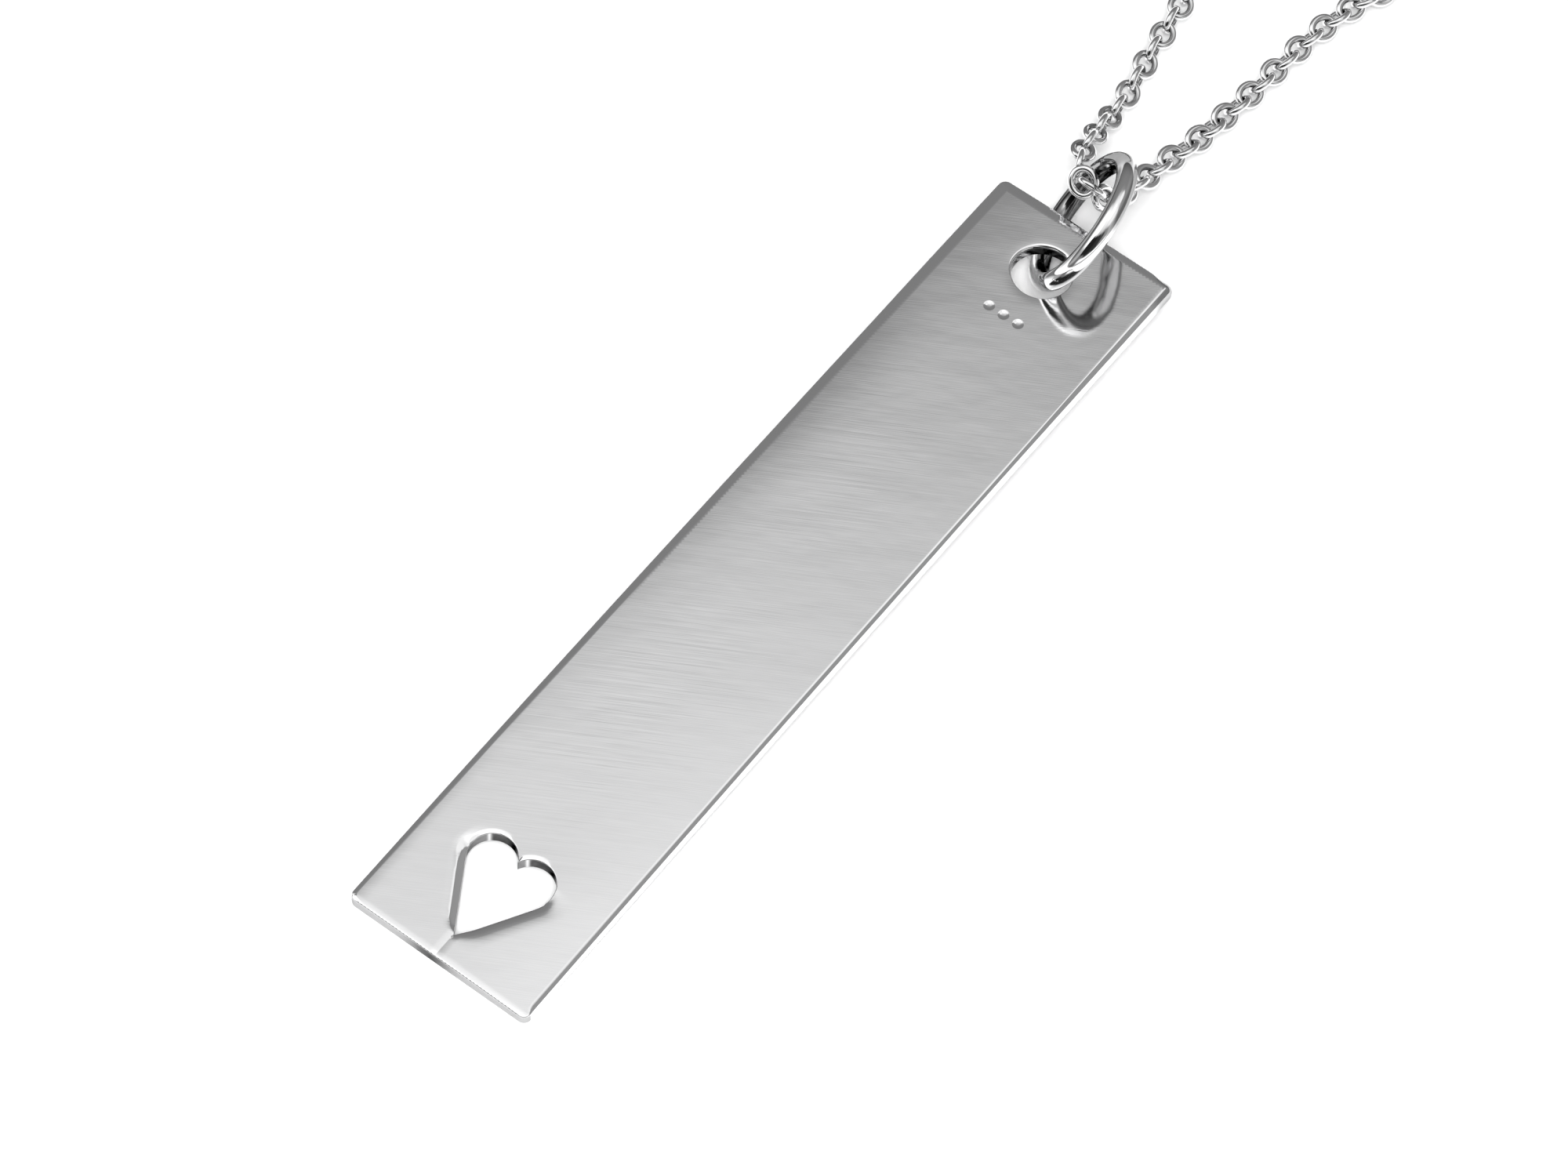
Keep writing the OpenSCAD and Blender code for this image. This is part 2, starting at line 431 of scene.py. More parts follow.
# Radii of the back's rims
BACK_EDGE_R = 0.12
BACK_HOLE_R = 0.1
BACK_HEART_R = 0.06

# Widths of the polished slopes along the edges. Left: at the heart end, and how much more at the
# hung end. Right: at the hung end. Hung end: in the middle, and how much less for each mm of x.
# Heart end: in the middle, and how much more at the left corner.
LEFT_BAND = (0.2, 0.4)
RIGHT_BAND = 0.38
HUNG_BAND = (0.49, 0.022)
HEART_BAND = (0.02, 0.18)
# How the right slope comes along the bar's length, and the heart end's towards the left
RIGHT_BAND_IN = (0.5, 0.5)
HEART_BAND_IN = (4, 1)
BAND_SLOPE = 0.24
BEVEL_SOFT = 0.05

# Rounding of the face towards its sides: depth, the x where it starts, and how far it takes
LEFT_ROUNDING = 0.12
LEFT_START_X = -0.5
RIGHT_ROUNDING = 0.11
RIGHT_START_X = 0.6
ROUNDING_REACH = 4.5
# The left rounding grows up to the first y. From the second it loses this share over this length.
LEFT_FULL_Y = 36
LEFT_EASE_Y = 39
LEFT_EASE_SHARE = 0.45
LEFT_EASE_L = 6
# The right rounding and the left edge's roll end at these y
RIGHT_END_Y = 26
LEFT_ROLL_END_Y = 17

# Curved slopes, each as its width and its steepness at the edge
LEFT_ROLL = (0.9, 0.108)
HEART_END_ROLL = (0.35, 0.25)
HEART_LEFT_ROLL = (0.72, 0.2016)
HEART_RIGHT_ROLLS = ((1.1, 0.2), (0.45, 0.4))

# Straight slopes round the heart and the hole: width, steepness and soft end
HEART_LEFT_BEVEL = (0.37, 0.4)
LOBE_BEVEL = (0.24, 0.25)
LOBE_SOFT = 0.04
HOLE_BEVEL = (0.3, 0.03, 0.2)
# Where the heart's slopes come, as start and length, and go, as end and length, along y
LEFT_IN, LEFT_OUT = (1.4, 0.5), (5.9, 0.8)
LEFT_BEVEL_IN, LEFT_BEVEL_OUT = (1.0, 1.3), (5.9, 2)
RIGHT_IN, RIGHT_OUT = (1.0, 1.4), (6.1, 1.5)
# The same of the lobes' rim, in degrees round a lobe
LOBE_IN, LOBE_OUT = (62, 35), (196, 30)

# Shallow dish left of the heart's left lobe: depth, its middle and half length along y, its
# width, and how it comes towards the left
DISH = (0.1, 5.2, 0.8, 0.6)
DISH_IN = (1.2, 0.8)

# Punched dots, and the crease under the heart
DOTS = [(-1.1, 43.75), (-0.25, 43.75), (0.6, 43.75)]
DOT_R = 0.3
DOT_DEPTH = 0.05
CREASE_X = -0.02
CREASE_W = 0.35
CREASE_SLOPE = 0.06
CREASE_OUT = (HEART_TIP_Y + 0.4, 0.5)


def chamfer(d, width, slope, soft):
    """Drop of a straight slope that starts at width from an edge and has a soft upper end."""
    t = width - d
    return slope * np.where(t > soft, t, np.maximum(t + soft, 0) ** 2 / (4 * soft))


def roll(d, width, slope):
    """Drop of a curved slope that starts at width from an edge and is this steep at the edge."""
    return slope * np.maximum(width - d, 0) ** 2 / (2 * width)


def nose_drop(d, r):
    """Drop of a rim of radius r at distance d from the edge."""
    u = np.clip((r - d) / r, 0, 1)
    return r * (1 - np.sqrt(1 - u * u))


def nose_slope(d, r):
    """How fast that drop changes with the distance."""
    u = np.clip((r - d) / r, 0, 0.9999)
    return -u / np.sqrt(1 - u * u)


def edge_radius(x, y):
    """Radius of the front edge: sharp on the left and at the heart end, soft on the right."""
    across = ACROSS_EDGE_R * smooth_step(x / BAR_W + 0.5)
    right = RIGHT_EDGE_R * rise(x, *RIGHT_EDGE_IN)
    return SHARP_R + (across + right) * rise(y, *SOFT_EDGE_IN)


def hole_rim_radius(x, y):
    """Radius of the hole's rim, worn softer on its far side."""
    worn = rise(np.cos(hole_turn(x, y) - HOLE_WORN_TURN), *HOLE_WORN_IN)
    return HOLE_RIM_R + HOLE_WORN_R * worn


def heart_rim_radius(x, y):
    """Radius of the heart's rim: sharp on its lobes and left side, softer on its right side."""
    return np.where((y > HEART_SHARP_Y) | (x < 0), SHARP_R, HEART_RIM_R)


def band_width(x, y):
    """Width of the polished slope along the nearest edge."""
    along = y / BAR_L
    near = np.argmin([x - LEFT_X, RIGHT_X - x, BAR_L - y, y], axis=0)
    widths = [
        LEFT_BAND[0] + LEFT_BAND[1] * along,
        RIGHT_BAND * rise(along, *RIGHT_BAND_IN),
        HUNG_BAND[0] - HUNG_BAND[1] * x,
        HEART_BAND[0] + HEART_BAND[1] * rise(-x, *HEART_BAND_IN),
    ]
    return np.choose(near, widths)


def lobe_rim(x, y):
    """Width of the polished rim round the heart's lobes, widest on their far side."""
    turn = lobe_turn(x, y)
    return LOBE_BEVEL[0] * rise(turn, *LOBE_IN) * fall(turn, *LOBE_OUT) - LOBE_SOFT


def bow(y):
    """Height of the bar's long bow."""
    return BAR_BOW * (1 - (y / (BAR_L / 2) - 1) ** 2)


def side_drop(x, y):
    """Drop of the face towards the bar's sides and ends."""
    left = rise(y, 0, LEFT_FULL_Y) * (1 - LEFT_EASE_SHARE * rise(y, LEFT_EASE_Y, LEFT_EASE_L))
    drop = LEFT_ROUNDING * left * np.maximum((LEFT_START_X - x) / ROUNDING_REACH, 0) ** 3
    right = RIGHT_ROUNDING * fall(y, RIGHT_END_Y, RIGHT_END_Y)
    drop = drop + right * np.maximum((x - RIGHT_START_X) / ROUNDING_REACH, 0) ** 2
    drop = drop + fall(y, LEFT_ROLL_END_Y, LEFT_ROLL_END_Y) * roll(x - LEFT_X, *LEFT_ROLL)
    drop = drop + chamfer(edge_distance(x, y), band_width(x, y), BAND_SLOPE, BEVEL_SOFT)
    return drop + roll(y, *HEART_END_ROLL)


def heart_drop(x, y):
    """Drop of the face towards the heart."""
    d = heart_distance(x, y)
    left = rise(y, *LEFT_IN) * fall(y, *LEFT_OUT) * (x < 0)
    right = rise(y, *RIGHT_IN) * fall(y, *RIGHT_OUT) * (x > 0)
    depth, middle, half_l, width = DISH
    dish = depth * bell(y, middle, half_l) * rise(-x, *DISH_IN)
    drop = dish * np.clip(1 - d / width, 0, 1) ** 1.3
    bevel_w = HEART_LEFT_BEVEL[0] * fall(y, *LEFT_BEVEL_OUT) * rise(y, *LEFT_BEVEL_IN)
    bevel = chamfer(d, bevel_w, HEART_LEFT_BEVEL[1], BEVEL_SOFT)
    drop = drop + left * (roll(d, *HEART_LEFT_ROLL) + bevel)
    for wide in HEART_RIGHT_ROLLS:
        drop = drop + right * roll(d, *wide)
    return drop + chamfer(d, lobe_rim(x, y), LOBE_BEVEL[1], LOBE_SOFT)


def front_height(x, y):
    """Height of the front face without its small edge roundings."""
    z = bow(y) - side_drop(x, y) - heart_drop(x, y)
    z = z - chamfer(hole_distance(x, y), *HOLE_BEVEL)
    for dot_x, dot_y in DOTS:
        r = np.hypot(x - dot_x, y - dot_y) / DOT_R
        z = z - DOT_DEPTH * np.maximum(1 - r ** 3, 0) ** 2
    crease = np.maximum(CREASE_W - np.abs(x - CREASE_X), 0) ** 1.5 / CREASE_W ** 0.5
    return z - CREASE_SLOPE * crease * fall(y, *CREASE_OUT)


def back_height(x, y):
    """Height of the back without its edge roundings."""
    return bow(y) - BAR_T


# Points and triangles of the bar

ARC_STEP = 0.05
EDGE_STEP = 0.2
HEART_OUTLINE_STEP = 0.06
HEART_RING_STEP = 0.07
HOLE_STEPS = 160
DOT_RINGS = 10
DOT_STEPS = 36
# How far the grid keeps off the dots' middles, in dot radii
DOT_CLEAR = 1.2
# Distances from the outlines at which rings of points follow them
EDGE_RINGS = (0.01, 0.03, 0.06, 0.1, 0.15, 0.2, 0.26, 0.33, 0.4, 0.48, 0.56, 0.65, 0.8)
CUT_RINGS = (0.01, 0.03, 0.06, 0.1, 0.14, 0.19, 0.27, 0.4, 0.6, 0.8)
# The heart's rings keep this far off the bar's outline
HEART_RING_CLEAR = 0.85
# Places across the crease, the step between such rows, and how far past the tip they go
CREASE_ROW = (-0.4, -0.25, -0.12, -0.05, -0.015, 0, 0.015, 0.05, 0.12, 0.25, 0.4)
CREASE_STEP = 0.1
CREASE_PAST_TIP = 0.3
# Open grid: its start from the sides and ends, how far it keeps off the bar's outline and off
# the hole and the heart, and its steps
GRID_START = 0.95
GRID_EDGE_CLEAR = 0.9
GRID_CUT_CLEAR = 0.95
GRID_DX = 0.4
GRID_DY = 0.35
# Points nearer to each other than this are one
MERGE = 1e-5
# A triangle whose middle is this far inside the heart's outline still belongs to the bar
HEART_SLACK = 1e-4


def edge_loop(d):
    """Points of the bar's outline moved inwards by d."""
    r = max(CORNER_R - d, 0.0)
    hx, hy = BAR_W / 2 - d - r, BAR_L / 2 - d - r
    n_arc = max(1, int(round(r * math.pi / 2 / ARC_STEP)))
    out = []
    corners = [(hx, hy, 0), (-hx, hy, 90), (-hx, -hy, 180), (hx, -hy, 270)]
    for k, (cx, cy, a0) in enumerate(corners):
        for j in range(n_arc + 1 if r > 0 else 1):
            a = math.radians(a0 + 90 * j / n_arc)
            out.append((cx + r * math.cos(a), cy + r * math.sin(a)))
        nx, ny, na = corners[(k + 1) % 4]
        na = math.radians(na)
        a, b = out[-1], (nx + r * math.cos(na), ny + r * math.sin(na))
        n = max(1, int(math.hypot(b[0] - a[0], b[1] - a[1]) / EDGE_STEP))
        for i in range(1, n):
            out.append((a[0] + (b[0] - a[0]) * i / n, a[1] + (b[1] - a[1]) * i / n))
    return [(x + EDGE_SHIFT, y + BAR_L / 2) for x, y in out]


def heart_loop(d, step):
    """Points of the heart's outline moved outwards by d, from the tip up the right side."""
    right = []
    turn = math.atan2(SIDE_OUT[1], SIDE_OUT[0])
    if d > 0:
        n = max(2, int(d * (turn + math.pi / 2) / ARC_STEP))
        for j in range(n):
            a = -math.pi / 2 + (turn + math.pi / 2) * j / n
            right.append(HEART_TIP + d * np.array([math.cos(a), math.sin(a)]))
    n = int(SIDE_L / step)
    right += [HEART_TIP + d * SIDE_OUT + SIDE_ALONG * SIDE_L * j / n for j in range(n)]
    r = HEART_LOBE_R + d
    end = math.pi - math.acos(min(1, HEART_LOBE[0] / r))
    for a in np.linspace(turn, end, int(r * (end - turn) / step) + 1):
        right.append(HEART_LOBE + r * np.array([math.cos(a), math.sin(a)]))
    left = [np.array([-p[0], p[1]]) for p in right[::-1] if abs(p[0]) > 1e-9]
    return [tuple(p) for p in right + left]


def circle_loop(centre, r, n):
    angles = [2 * math.pi * k / n for k in range(n)]
    return [(centre[0] + r * math.cos(a), centre[1] + r * math.sin(a)) for a in angles]


def grid_points():
    """Staggered points over the open face, clear of the rings of points."""
    grid = []
    for j, y in enumerate(np.arange(GRID_START, BAR_L - GRID_EDGE_CLEAR, GRID_DY)):
        for x in np.arange(GRID_START - BAR_W / 2, BAR_W / 2 - GRID_EDGE_CLEAR, GRID_DX):
            grid.append((x + GRID_DX / 2 * (j % 2), y))
    grid = np.array(grid)
    x, y = grid.T
    keep = edge_distance(x, y) > GRID_EDGE_CLEAR
    keep &= hole_distance(x, y) > GRID_CUT_CLEAR
    keep &= heart_distance(x, y) > GRID_CUT_CLEAR
    for dot_x, dot_y in DOTS:
        keep &= np.hypot(x - dot_x, y - dot_y) > DOT_R * DOT_CLEAR
    return [tuple(p) for p in grid[keep]]


def bar_triangles():
    """Points and triangles of the bar's face in plan."""
    outlines = (
        edge_loop(0), circle_loop(HOLE, HOLE_R, HOLE_STEPS), heart_loop(0, HEART_OUTLINE_STEP),
    )
    points, edges = [], []
    for loop in outlines:
        first, n = len(points), len(loop)
        edges += [(first + i, first + (i + 1) % n) for i in range(n)]
        points += loop
    for d in EDGE_RINGS:
        points += edge_loop(d)
    for d in CUT_RINGS:
        points += circle_loop(HOLE, HOLE_R + d, HOLE_STEPS)
        ring = heart_loop(d, HEART_RING_STEP)
        points += [p for p in ring if edge_distance(*p) > HEART_RING_CLEAR]
    for centre in DOTS:
        points += [centre]
        for j in range(1, DOT_RINGS + 1):
            points += circle_loop(centre, DOT_R * j / (DOT_RINGS - 1), DOT_STEPS)
    for y in np.arange(CREASE_STEP, HEART_TIP_Y + CREASE_PAST_TIP, CREASE_STEP):
        points += [(CREASE_X + w, y) for w in CREASE_ROW]
    points += grid_points()
    co, _, tris, *_ = delaunay_2d_cdt([Vector(p) for p in points], edges, [], 0, MERGE)
    co = np.array([tuple(v) for v in co])
    tris = np.array(tris)
    x, y = co[tris].mean(1).T
    inside = (edge_distance(x, y) > 0) & (heart_distance(x, y) > -HEART_SLACK)
    inside &= hole_distance(x, y) > HOLE_R * (math.cos(math.pi / HOLE_STEPS) - 1)
    return co, tris[inside]


def boundary_edges(tris):
    """Directed edges that belong to one triangle only."""
    e = np.concatenate([tris[:, [0, 1]], tris[:, [1, 2]], tris[:, [2, 0]]])
    have = {tuple(p) for p in e}
    return [p for p in map(tuple, e) if (p[1], p[0]) not in have]


def gradient(f, x, y, step=0.004):
    return (
        (f(x + step, y) - f(x - step, y)) / (2 * step),
        (f(x, y + step) - f(x, y - step)) / (2 * step),
    )


def bar_surface(x, y):
    """Heights and normals of the front and the back at points in plan."""
    rims = [
        (edge_distance, edge_radius(x, y), BACK_EDGE_R),
        (hole_distance, hole_rim_radius(x, y), BACK_HOLE_R),
        (heart_distance, heart_rim_radius(x, y), BACK_HEART_R),
    ]
    front, back = front_height(x, y), back_height(x, y)
    fx, fy = gradient(front_height, x, y)
    bx, by = gradient(back_height, x, y)
    for distance, rim, back_rim in rims:
        d = np.maximum(distance(x, y), 0)
        gx, gy = gradient(distance, x, y)
        front = front - nose_drop(d, rim)
        back = back + nose_drop(d, back_rim)
        fx, fy = fx - nose_slope(d, rim) * gx, fy - nose_slope(d, rim) * gy
        bx, by = bx + nose_slope(d, back_rim) * gx, by + nose_slope(d, back_rim) * gy
    up = np.stack([-fx, -fy, np.ones_like(fx)], -1)
    down = np.stack([bx, by, -np.ones_like(bx)], -1)
    return front, back, unit(up), unit(down)


# Painted shade of the bar, and its wear, each from 0 to 1

# A point this near to an outline is on its wall
ON_WALL = 1e-3
# Painted shade on the heart's walls, for their dark reflections: its straight sides up to this y,
# then the lobes, and how much more on their right part, which starts and ends at these turns round
# the lobe in degrees
HEART_SIDE_SHADE = 0.79
HEART_SIDE_TOP_Y = 5.0
LOBE_SHADE = 0.74
LOBE_MORE_SHADE = 0.18
LOBE_MORE_START = -60
LOBE_MORE_OUT = (130, 5)
# Painted highlight between the lobes' two parts: how much lighter, its turn and its half width
GAP_SHARE = 0.9
GAP_TURN = (134, 3.5)
# Painted shade of the hole's wall: its level, how much more on its far part, and where that ends,
# in degrees
HOLE_SHADE = 0.6
HOLE_MORE_SHADE = 0.28
HOLE_MORE_OUT = (160, 30)
# Painted shade of the heart end's wall: its level, how much more in its dark middle, and that
# part's x and half width
END_SHADE = 0.42
END_MORE_SHADE = 0.42
END_MORE_X = (-0.3, 1.1)
# Painted shade of the hung end's right corner: its level, and how it comes along y and x and
# towards the edge
CORNER_SHADE = 0.42
CORNER_IN_Y = (48.4, 0.9)
CORNER_IN_X = (4.0, 0.7)
CORNER_OUT = (0.4, 0.2)
# Scratched patches of the face: strength, middle and half length along y, the same along x
WEAR_BASE = 0.12
WEAR_PATCHES = [(0.85, 15, 7.5, -0.8, 3.0), (0.5, 32, 5.5, -0.6, 2.6)]


def bar_painted_shade(x, y):
    """How dark the painted shade makes the sawn walls and the hung end's right corner."""
    turn = lobe_turn(x, y)
    lobes = LOBE_SHADE + LOBE_MORE_SHADE * fall(turn, *LOBE_MORE_OUT) * (turn > LOBE_MORE_START)
    lobes = lobes * (1 - GAP_SHARE * bell(turn, *GAP_TURN))
    heart = np.where(y > HEART_SIDE_TOP_Y, lobes, HEART_SIDE_SHADE)
    painted_shade = np.where(np.abs(heart_distance(x, y)) < ON_WALL, heart, 0.0)
    turn = np.degrees(hole_turn(x, y))
    hole = HOLE_SHADE + HOLE_MORE_SHADE * fall(turn, *HOLE_MORE_OUT) * (turn > 0)
    painted_shade = np.where(np.abs(hole_distance(x, y)) < ON_WALL, hole, painted_shade)
    d_edge = edge_distance(x, y)
    at_heart_end = (d_edge < ON_WALL) & (y < CORNER_R)
    painted_shade = np.where(at_heart_end, END_SHADE + END_MORE_SHADE * bell(x, *END_MORE_X), painted_shade)
    corner = rise(y, *CORNER_IN_Y) * rise(x, *CORNER_IN_X) * fall(d_edge, *CORNER_OUT)
    return np.maximum(painted_shade, CORNER_SHADE * corner)


def bar_wear(x, y):
    """How strongly the face is scratched."""
    wear = WEAR_BASE
    for strength, at_y, half_l, at_x, half_w in WEAR_PATCHES:
        wear = wear + strength * bell(y, at_y, half_l) * bell(x, at_x, half_w)
    return wear


def add_bar():
    co, tris = bar_triangles()
    x, y = co.T
    front, back, up, down = bar_surface(x, y)
    n = len(co)
    points = np.concatenate([np.column_stack([co, front]), np.column_stack([co, back])])
    faces = [tuple(int(i) for i in t) for t in tris]
    faces += [tuple(int(i) + n for i in t[::-1]) for t in tris]
    faces += [(int(b), int(a), int(a) + n, int(b) + n) for a, b in boundary_edges(tris)]
    piece = add_piece("bar_plate", bar_to_row(points), faces, ["bar"])
    normals = tilted(np.concatenate([up, down]))
    piece.data.normals_split_custom_set_from_vertices([tuple(v) for v in normals])
    # Painted shade on the walls and the right corner, for the material to darken the silver with
    set_values(piece, "painted_shade", np.tile(bar_painted_shade(x, y), 2))
    set_values(piece, "wear", np.tile(bar_wear(x, y), 2))
    return piece


# Jump ring

# Bands of painted shade, for the ring's dark reflections: level, then low end, high end and
# softness of the window round the wire, then the same of the window round the ring. In the first
# list both halves of the wire are alike.
ALL_ROUND = (-400, 400, 1)
MIRRORED_BANDS = [
    (0.92, (122, 190, 22), (-170, 34, 12)),
    (0.88, (156, 190, 14), (28, 150, 20)),
]
BANDS = [
    (0.9, (-150, -55, 20), (-82, -36, 12)),
    (0.58, (-150, -2, 20), (-40, 62, 22)),
    (0.74, (-108, -66, 12), (58, 168, 20)),
    (0.6, (1, 48, 10), (58, 118, 16)),
    (0.68, (86, 155, 16), ALL_ROUND),
    (0.8, (60, 92, 16), ALL_ROUND),
]
# Painted highlights, spots left out of the painted shade: their place round the ring and round
# the wire, and their half widths
HIGHLIGHT_SPOTS = [(-50, -150, 5, 13), (-56, -166, 4, 9), (20, -143, 4, 9)]


def ring_painted_shade(u, v):
    """Painted shade for dark reflections, with painted highlights: u runs round the ring in
    degrees, v round its wire, 0 outwards and 180 inwards.
    """
    bands = [(level, np.abs(v), on_v, on_u) for level, on_v, on_u in MIRRORED_BANDS]
    bands += [(level, v, on_v, on_u) for level, on_v, on_u in BANDS]
    painted_shade = np.maximum.reduce([
        level * (window(turn, *on_v) * window(u, *on_u)) for level, turn, on_v, on_u in bands
    ])
    for at_u, at_v, half_u, half_v in HIGHLIGHT_SPOTS:
        painted_shade = painted_shade * (1 - bell(u, at_u, half_u) * bell(v, at_v, half_v))
    return painted_shade


def add_ring():
    c, s = math.cos(RING_TURN), math.sin(RING_TURN)
    axis = np.array([math.sin(RING_LEAN) * c, math.sin(RING_LEAN) * s, -math.cos(RING_LEAN)])
    first = np.array([-s, c, 0])
    second = np.cross(axis, first)
    around, across = RING_MESH
    u, v = np.meshgrid(full_turn(around), full_turn(across), indexing="ij")
    out = np.cos(u)[..., None] * first + np.sin(u)[..., None] * second
    points = RING_AT + out * (RING_MID_R + RING_WIRE_R * np.cos(v))[..., None]
    points = points + (RING_WIRE_R * np.sin(v))[..., None] * axis
    verts, faces = bar_to_row(points.reshape(-1, 3)), loop_faces(0, around, across)
    piece = add_piece("ring_shown", verts, faces, ["jump_ring"])
    u, v = [np.degrees(np.where(a > math.pi, a - 2 * math.pi, a)).ravel() for a in (u, v)]
    # Painted shade and painted highlights for the ring's reflections
    set_values(piece, "painted_shade", ring_painted_shade(u, v))
    return piece


# Chain

# Links of the chain's front part on each side of the one at the ring
FRONT_LINKS = 60
# Points round a link and round its wire
FRONT_MESH = (40, 16)
REST_MESH = (24, 10)
# The end links' middles lie this far past the route's ends, at the clasp's eyes
END_REACH = 0.07
# This many links at each end aren't rolled
END_LINKS = 3
# The way that every second link's face looks, and the rolls of the links, in degrees
LINK_FACE = np.array([0.3, -0.45, 0.85])
ROLL_SPREAD = 6
ODD_ROLL = 20
ROLL_SEED = 11
# Painted shade of the links' outer side, how much more on their inner side where shade falls, and
# how it comes
LINK_SHADE = 0.12
LINK_MORE_SHADE = 0.44
LINK_MORE_IN = (0.2, 0.6)
# The link at the ring hangs across its neighbours, turned to the viewer
RING_LINK_SHIFT = np.array([0.36, 0.04, 0.0])
RING_LINK_SIZE = (0.665, 0.57, 0.2)
RING_LINK_RUN = unit(np.array([-0.67, 0.54, 0.51]))
RING_LINK_FACE = [0.1, -0.4, 0.85]
RING_LINK_AXIS = unit(np.cross(np.cross(RING_LINK_RUN, RING_LINK_FACE), RING_LINK_RUN))


def catmull(points, steps):
    """Smooth curve through points, kept at or above the lying chain's height."""
    p = np.array([points[0]] + list(points) + [points[-1]], float)
    out = []
    for i in range(1, len(p) - 2):
        a, b, c, d = p[i - 1], p[i], p[i + 1], p[i + 2]
        for k in range(steps):
            u = k / steps
            square, cube = 2 * a - 5 * b + 4 * c - d, 3 * b - a - 3 * c + d
            out.append(0.5 * (2 * b + (c - a) * u + square * u * u + cube * u ** 3))
    out.append(p[-1])
    out = np.array(out)
    out[:, 2] = np.maximum(out[:, 2], REST_Z)
    return out


CURVE = catmull(ROUTE_LEFT + ROUTE_RING + ROUTE_RIGHT, ROUTE_STEPS)
CURVE_S = np.concatenate([[0], np.cumsum(np.linalg.norm(np.diff(CURVE, axis=0), axis=1))])
RING_S = CURVE_S[len(ROUTE_LEFT) * ROUTE_STEPS]


def chain_at(s):
    """Places at lengths s along the chain, which goes straight on past both ends."""
    p = np.stack([np.interp(s, CURVE_S, CURVE[:, k]) for k in range(3)], -1)
    p[:, 0] += np.where(s < 0, -s, 0) + np.where(s > CURVE_S[-1], CURVE_S[-1] - s, 0)
    return p


def link_stations():
    """Lengths along the chain of all its links, and the number of the one at the ring."""
    start, end = -END_REACH, CURVE_S[-1] + END_REACH
    slack = RING_S - start - TIGHT_LINKS * TIGHT_EXTRA
    left = int(round((slack / PITCH - 1) / 2)) * 2 + 1
    right = int(round(((end - RING_S) / PITCH - 1) / 2)) * 2 + 1
    place = np.arange(left, 0, -1)
    lower = RING_S - slack / left * place - TIGHT_EXTRA * np.minimum(place, TIGHT_LINKS)
    upper = RING_S + (end - RING_S) / right * np.arange(0, right + 1)
    return np.concatenate([lower, upper]), left


def links_mesh(centres, runs, axes, sizes, mesh):
    """Slightly oval links of round wire, as one mesh, and its painted shade."""
    around, across = mesh
    verts, faces = [], []
    u, v = full_turn(around), full_turn(across)
    cu, su = np.cos(u)[:, None], np.sin(u)[:, None]
    for k, (centre, run, axis, size) in enumerate(zip(centres, runs, axes, sizes)):
        side = np.cross(axis, run)
        half_l, half_w, wire_r = size
        middle = centre + half_l * cu * run + half_w * su * side
        out = unit(cu / half_l * run + su / half_w * side)
        points = middle[:, None] + wire_r * np.cos(v)[None, :, None] * out[:, None]
        points = points + (wire_r * np.sin(v))[None, :, None] * axis
        verts.append(points.reshape(-1, 3))
        faces += loop_faces(k * around * across, around, across)
    painted_shade = LINK_SHADE + LINK_MORE_SHADE * rise(-np.cos(v), *LINK_MORE_IN)
    # The thicker link at the ring gets no painted shade
    shaded = np.where(sizes[:, 2] > LINK_WIRE_R, 0.0, 1.0)
    return np.concatenate(verts) * MM, faces, np.outer(shaded, np.tile(painted_shade, around)).ravel()


def add_chain():
    stations, zero = link_stations()
    centres = chain_at(stations)
    run = unit(chain_at(stations + PITCH) - chain_at(stations - PITCH))
    flat = unit(LINK_FACE - (run @ LINK_FACE)[:, None] * run)
    upright = np.cross(run, flat)
    number = np.arange(len(stations)) - zero
    odd = number % 2 == 1
    draw = np.random.RandomState(ROLL_SEED)
    turn = draw.normal(0, ROLL_SPREAD, len(stations)) + np.where(odd, ODD_ROLL, 0)
    # The two links beside the one at the ring aren't rolled either
    turn[:END_LINKS] = turn[-END_LINKS:] = 0
    turn[np.abs(number) == 1] = 0
    turn = np.radians(turn)[:, None]
    axes = np.where(odd[:, None], upright, flat)
    axes = axes * np.cos(turn) + np.cross(run, axes) * np.sin(turn)
    centres[zero] += RING_LINK_SHIFT
    run[zero], axes[zero] = RING_LINK_RUN, RING_LINK_AXIS
    sizes = np.tile([LINK_HALF_L, LINK_HALF_W, LINK_WIRE_R], (len(stations), 1))
    sizes[zero] = RING_LINK_SIZE
    front = np.abs(number) <= FRONT_LINKS
    parts = [
        ("chain_shown", front, FRONT_MESH, "chain_front"),
        ("chain_rest", ~front, REST_MESH, "chain_back"),
    ]
    pieces = []
    for name, those, mesh, node in parts:
        links = centres[those], run[those], axes[those], sizes[those]
        verts, faces, painted_shade = links_mesh(*links, mesh)
        piece = add_piece(name, verts, faces, [node])
        # Painted shade of the links, darker on their inner side
        set_values(piece, "painted_shade", painted_shade)
        pieces.append(piece)
    return pieces


# Materials

# Silver's colour, its colour under full painted shade, and its grazing tint without and under full
# painted shade
SILVER = (0.93, 0.93, 0.935, 1)
SHADED_SILVER = (0.045, 0.045, 0.045, 1)
UNSHADED_GLANCE = (1, 1, 1, 1)
SHADED_GLANCE = (0.1, 0.1, 0.1, 1)
BAR_ROUGHNESS = 0.08
WIRE_ROUGHNESS = 0.05
NOISE_DETAIL = 3
SCRATCH_TURN = math.radians(-30)
# Scales of the noises along x, y and z, and the depths of their bumps in metres
WAVES = ((160, 280, 200), 0.000022)
STREAKS = ((150, 6000, 200), 0.000005)
HAIRS = ((400, 18000, 500), 0.0000012)
DENTS = ((900, 900, 900), 0.000004)
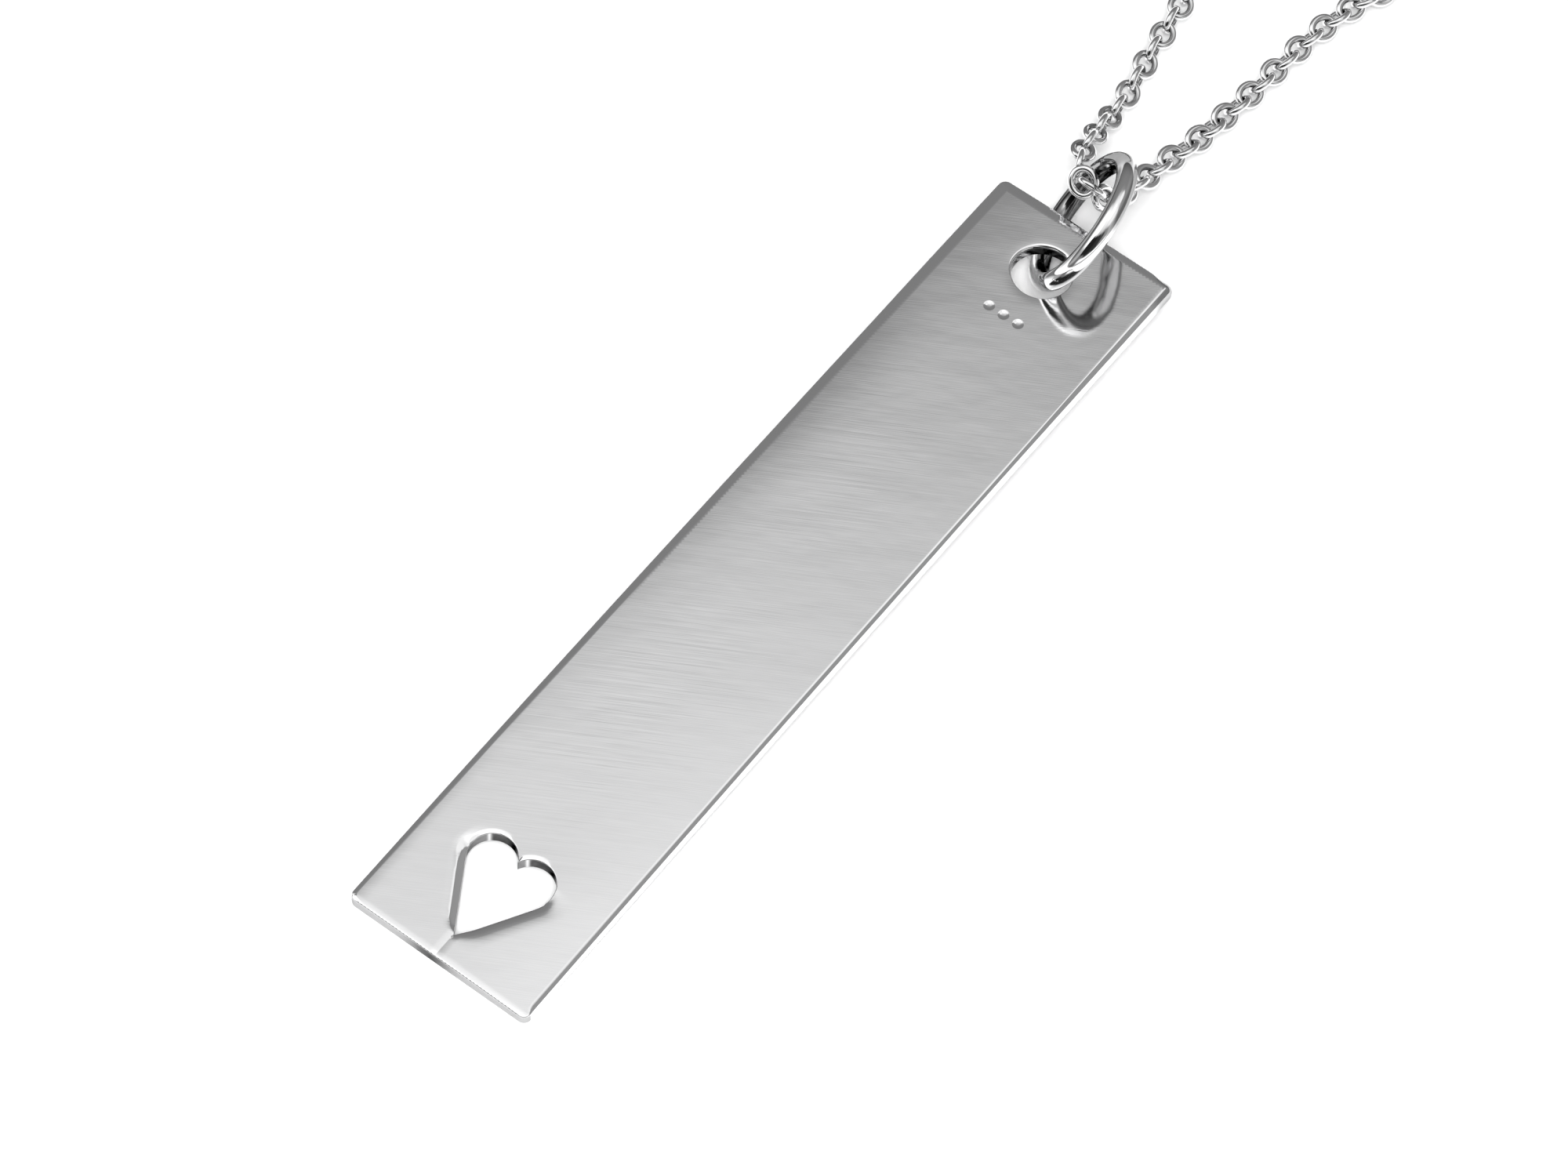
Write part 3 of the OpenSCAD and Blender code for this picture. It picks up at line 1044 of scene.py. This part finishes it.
# Spots in the painted shade: the noise's scales, its range, and the least share of the painted
# shade in them
SPOTS_SCALE = (3000, 3000, 3000)
SPOTS_RANGE = (0.35, 0.6)
SPOTS_LEAST = 0.95


def silver(name, roughness):
    material = bpy.data.materials.new(name)
    material.use_nodes = True
    shader = material.node_tree.nodes["Principled BSDF"]
    shader.inputs["Base Color"].default_value = SILVER
    shader.inputs["Metallic"].default_value = 1.0
    shader.inputs["Roughness"].default_value = roughness
    return material, shader


def noise_height(tree, rotation, scale, name):
    """Noise over the row frame, stretched by its scales along a turned direction."""
    coords = tree.nodes.new("ShaderNodeTexCoord")
    turned = tree.nodes.new("ShaderNodeMapping")
    turned.inputs["Rotation"].default_value = (0, 0, rotation)
    mapping = tree.nodes.new("ShaderNodeMapping")
    mapping.inputs["Scale"].default_value = scale
    noise = tree.nodes.new("ShaderNodeTexNoise")
    noise.name = name
    noise.inputs["Scale"].default_value = 1.0
    noise.inputs["Detail"].default_value = NOISE_DETAIL
    tree.links.new(coords.outputs["Object"], turned.inputs["Vector"])
    tree.links.new(turned.outputs["Vector"], mapping.inputs["Vector"])
    tree.links.new(mapping.outputs["Vector"], noise.inputs["Vector"])
    return noise.outputs["Fac"]


def attribute(tree, name):
    """The number that set_values gave each point of the mesh."""
    node = tree.nodes.new("ShaderNodeAttribute")
    node.attribute_name = name
    return node.outputs["Fac"]


def blend(tree, a, b, factor):
    node = tree.nodes.new("ShaderNodeMix")
    node.data_type = "RGBA"
    node.inputs["A"].default_value = a
    node.inputs["B"].default_value = b
    tree.links.new(factor, node.inputs["Factor"])
    return node.outputs["Result"]


def paint_shade(tree, shader):
    """Darkens the silver where the mesh has painted shade, a little unevenly, and dims its grazing
    reflection there.
    """
    painted_shade = attribute(tree, "painted_shade")
    spots = tree.nodes.new("ShaderNodeMapRange")
    spots.inputs["From Min"].default_value = SPOTS_RANGE[0]
    spots.inputs["From Max"].default_value = SPOTS_RANGE[1]
    spots.inputs["To Min"].default_value = SPOTS_LEAST
    tree.links.new(noise_height(tree, 0, SPOTS_SCALE, "spots"), spots.inputs["Value"])
    amount = tree.nodes.new("ShaderNodeMath")
    amount.operation = "MULTIPLY"
    tree.links.new(painted_shade, amount.inputs[0])
    tree.links.new(spots.outputs["Result"], amount.inputs[1])
    tint = blend(tree, SILVER, SHADED_SILVER, amount.outputs["Value"])
    tree.links.new(tint, shader.inputs["Base Color"])
    # The painted shade also dims the grazing reflection
    glance = blend(tree, UNSHADED_GLANCE, SHADED_GLANCE, amount.outputs["Value"])
    tree.links.new(glance, shader.inputs["Specular Tint"])


def bump(tree, height, distance, normal=None, strength=None):
    node = tree.nodes.new("ShaderNodeBump")
    node.inputs["Strength"].default_value = 1.0
    if strength:
        tree.links.new(strength, node.inputs["Strength"])
    node.inputs["Distance"].default_value = distance
    tree.links.new(height, node.inputs["Height"])
    if normal:
        tree.links.new(normal, node.inputs["Normal"])
    return node.outputs["Normal"]


def bar_material():
    material, shader = silver("silver_bar_polished", BAR_ROUGHNESS)
    tree = material.node_tree
    waves = noise_height(tree, SCRATCH_TURN, WAVES[0], "waves")
    streaks = noise_height(tree, SCRATCH_TURN, STREAKS[0], "streaks")
    hairs = noise_height(tree, SCRATCH_TURN, HAIRS[0], "hairs")
    normal = bump(tree, waves, WAVES[1])
    normal = bump(tree, streaks, STREAKS[1], normal, attribute(tree, "wear"))
    normal = bump(tree, hairs, HAIRS[1], normal)
    tree.links.new(normal, shader.inputs["Normal"])
    paint_shade(tree, shader)
    return material


def wire_material():
    material, shader = silver("silver_wire_polished", WIRE_ROUGHNESS)
    tree = material.node_tree
    dents = noise_height(tree, 0, DENTS[0], "dents")
    tree.links.new(bump(tree, dents, DENTS[1]), shader.inputs["Normal"])
    paint_shade(tree, shader)
    return material


add_camera()
add_world()
add_floor()
for light in LIGHTS:
    add_light(*light)
bar = add_bar()
wire_pieces = [add_ring()] + add_chain()
bar.data.materials.append(bar_material())
wire = wire_material()
for piece in wire_pieces:
    piece.data.materials.append(wire)
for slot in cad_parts["clasp"].material_slots:
    slot.material = wire
bpy.context.scene.view_settings.view_transform = "Standard"
